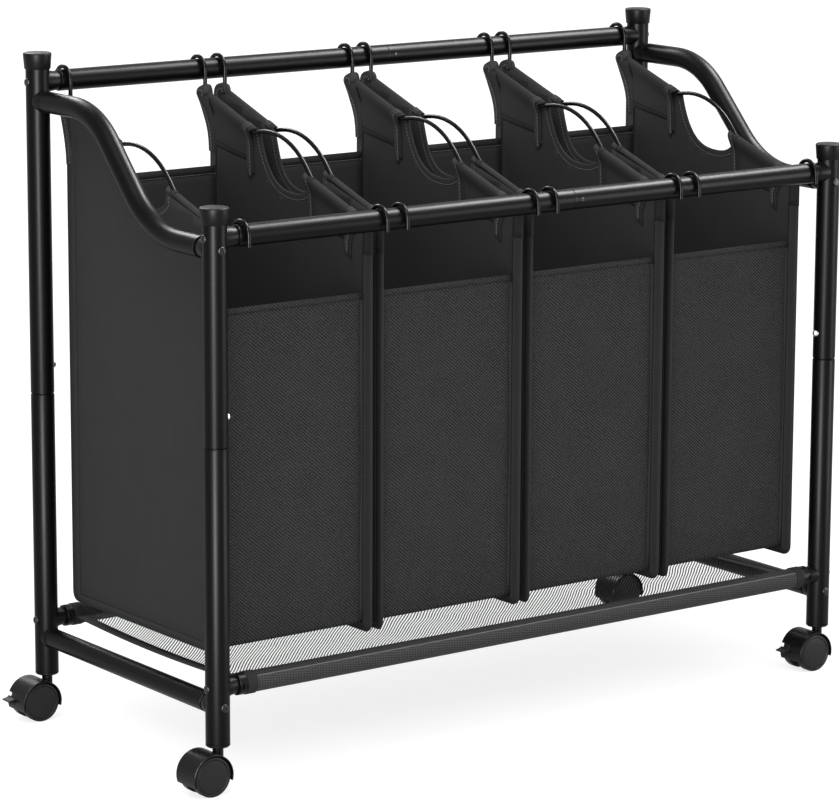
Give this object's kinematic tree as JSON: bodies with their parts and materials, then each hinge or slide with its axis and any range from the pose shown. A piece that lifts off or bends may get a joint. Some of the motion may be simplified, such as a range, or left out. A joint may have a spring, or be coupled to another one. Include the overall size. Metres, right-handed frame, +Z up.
{
  "type": "laundry sorter on wheels",
  "caption": "Rolling laundry sorter: a bolted tube frame on swivel casters that carries removable fabric bags on wire hangers above a mesh shelf.",
  "frame": {"origin": "on the floor, at the centre of the whole footprint with the casters as they stand", "axes": "+X along the row of bags, -Y towards the low front, +Z up"},
  "size_m": [0.9646, 0.407, 0.7943],
  "materials": {
    "tube": "satin black powder coat",
    "wire": "satin black coated wire",
    "cap_plastic": "moulded black plastic",
    "caster_plastic": "moulded black plastic",
    "wheel_plastic": "moulded dark grey plastic",
    "stem_steel": "plated steel",
    "bag_cloth": "woven dark grey polyester",
    "mesh_cloth": "black knitted mesh"
  },
  "bodies": {
    "frame": {"upper_post_front_left": "tube", "lower_post_front_left": "tube", "post_cap_front_left": "cap_plastic", "post_socket_front_left": "cap_plastic", "upper_post_front_right": "tube", "lower_post_front_right": "tube", "post_cap_front_right": "cap_plastic", "post_socket_front_right": "cap_plastic", "upper_post_rear_left": "tube", "lower_post_rear_left": "tube", "post_cap_rear_left": "cap_plastic", "post_socket_rear_left": "cap_plastic", "upper_post_rear_right": "tube", "lower_post_rear_right": "tube", "post_cap_rear_right": "cap_plastic", "post_socket_rear_right": "cap_plastic", "top_bar_front_left": "tube", "bottom_bar_front_left": "tube", "top_bar_rear_left": "tube", "bottom_bar_rear_left": "tube", "top_bar_front_right": "tube", "bottom_bar_front_right": "tube", "top_bar_rear_right": "tube", "bottom_bar_rear_right": "tube", "side_rail_left": "tube", "cross_tube_left": "tube", "side_rail_right": "tube", "cross_tube_right": "tube", "mesh_shelf": "mesh_cloth", "caster_stem_front_left": "stem_steel", "caster_stem_front_right": "stem_steel", "caster_stem_rear_left": "stem_steel", "caster_stem_rear_right": "stem_steel"},
    "caster_front_left": {"caster_housing_front_left": "caster_plastic"},
    "wheel_front_left_a": {"caster_wheel_front_left_a": "wheel_plastic"},
    "wheel_front_left_b": {"caster_wheel_front_left_b": "wheel_plastic"},
    "caster_front_right": {"caster_housing_front_right": "caster_plastic"},
    "wheel_front_right_a": {"caster_wheel_front_right_a": "wheel_plastic"},
    "wheel_front_right_b": {"caster_wheel_front_right_b": "wheel_plastic"},
    "lever_front_right": {"brake_lever_front_right": "wheel_plastic"},
    "caster_rear_left": {"caster_housing_rear_left": "caster_plastic"},
    "wheel_rear_left_a": {"caster_wheel_rear_left_a": "wheel_plastic"},
    "wheel_rear_left_b": {"caster_wheel_rear_left_b": "wheel_plastic"},
    "lever_rear_left": {"brake_lever_rear_left": "wheel_plastic"},
    "caster_rear_right": {"caster_housing_rear_right": "caster_plastic"},
    "wheel_rear_right_a": {"caster_wheel_rear_right_a": "wheel_plastic"},
    "wheel_rear_right_b": {"caster_wheel_rear_right_b": "wheel_plastic"},
    "hanging_bag_1": {"bag_1": "bag_cloth", "bag_wire_1_left": "wire", "bag_wire_1_right": "wire"},
    "hanging_bag_2": {"bag_2": "bag_cloth", "bag_wire_2_left": "wire", "bag_wire_2_right": "wire"},
    "hanging_bag_3": {"bag_3": "bag_cloth", "bag_wire_3_left": "wire", "bag_wire_3_right": "wire"},
    "hanging_bag_4": {"bag_4": "bag_cloth", "bag_wire_4_left": "wire", "bag_wire_4_right": "wire"}
  },
  "joints": [
    {"name": "swivel_front_left", "type": "hinge", "parent": "frame", "child": "caster_front_left", "pos_m": [-0.4313, -0.1845, 0.053], "axis": [0, 0, 1], "continuous": true},
    {"name": "wheel_spin_front_left_a", "type": "hinge", "parent": "caster_front_left", "child": "wheel_front_left_a", "pos_m": [-0.4488, -0.1845, 0.02305], "axis": [0, 1, 0], "continuous": true},
    {"name": "wheel_spin_front_left_b", "type": "hinge", "parent": "caster_front_left", "child": "wheel_front_left_b", "pos_m": [-0.4488, -0.1845, 0.02305], "axis": [0, 1, 0], "continuous": true},
    {"name": "swivel_front_right", "type": "hinge", "parent": "frame", "child": "caster_front_right", "pos_m": [0.4657, -0.1845, 0.053], "axis": [0, 0, 1], "continuous": true},
    {"name": "wheel_spin_front_right_a", "type": "hinge", "parent": "caster_front_right", "child": "wheel_front_right_a", "pos_m": [0.4482, -0.1845, 0.02305], "axis": [0, 1, 0], "continuous": true},
    {"name": "wheel_spin_front_right_b", "type": "hinge", "parent": "caster_front_right", "child": "wheel_front_right_b", "pos_m": [0.4482, -0.1845, 0.02305], "axis": [0, 1, 0], "continuous": true},
    {"name": "brake_front_right", "type": "hinge", "parent": "caster_front_right", "child": "lever_front_right", "pos_m": [0.4482, -0.1845, 0.02305], "axis": [0, 1, 0], "range_deg": [0, 10]},
    {"name": "swivel_rear_left", "type": "hinge", "parent": "frame", "child": "caster_rear_left", "pos_m": [-0.4313, 0.1845, 0.053], "axis": [0, 0, 1], "continuous": true},
    {"name": "wheel_spin_rear_left_a", "type": "hinge", "parent": "caster_rear_left", "child": "wheel_rear_left_a", "pos_m": [-0.4488, 0.1845, 0.02305], "axis": [0, 1, 0], "continuous": true},
    {"name": "wheel_spin_rear_left_b", "type": "hinge", "parent": "caster_rear_left", "child": "wheel_rear_left_b", "pos_m": [-0.4488, 0.1845, 0.02305], "axis": [0, 1, 0], "continuous": true},
    {"name": "brake_rear_left", "type": "hinge", "parent": "caster_rear_left", "child": "lever_rear_left", "pos_m": [-0.4488, 0.1845, 0.02305], "axis": [0, 1, 0], "range_deg": [0, 10]},
    {"name": "swivel_rear_right", "type": "hinge", "parent": "frame", "child": "caster_rear_right", "pos_m": [0.4657, 0.1845, 0.053], "axis": [0, 0, 1], "continuous": true},
    {"name": "wheel_spin_rear_right_a", "type": "hinge", "parent": "caster_rear_right", "child": "wheel_rear_right_a", "pos_m": [0.4482, 0.1845, 0.02305], "axis": [0, 1, 0], "continuous": true},
    {"name": "wheel_spin_rear_right_b", "type": "hinge", "parent": "caster_rear_right", "child": "wheel_rear_right_b", "pos_m": [0.4482, 0.1845, 0.02305], "axis": [0, 1, 0], "continuous": true},
    {"name": "lift_bag_1", "type": "slide", "parent": "frame", "child": "hanging_bag_1", "axis": [0, 0, 1], "range_m": [0, 0.66]},
    {"name": "lift_bag_2", "type": "slide", "parent": "frame", "child": "hanging_bag_2", "axis": [0, 0, 1], "range_m": [0, 0.66]},
    {"name": "lift_bag_3", "type": "slide", "parent": "frame", "child": "hanging_bag_3", "axis": [0, 0, 1], "range_m": [0, 0.66]},
    {"name": "lift_bag_4", "type": "slide", "parent": "frame", "child": "hanging_bag_4", "axis": [0, 0, 1], "range_m": [0, 0.66]}
  ]
}
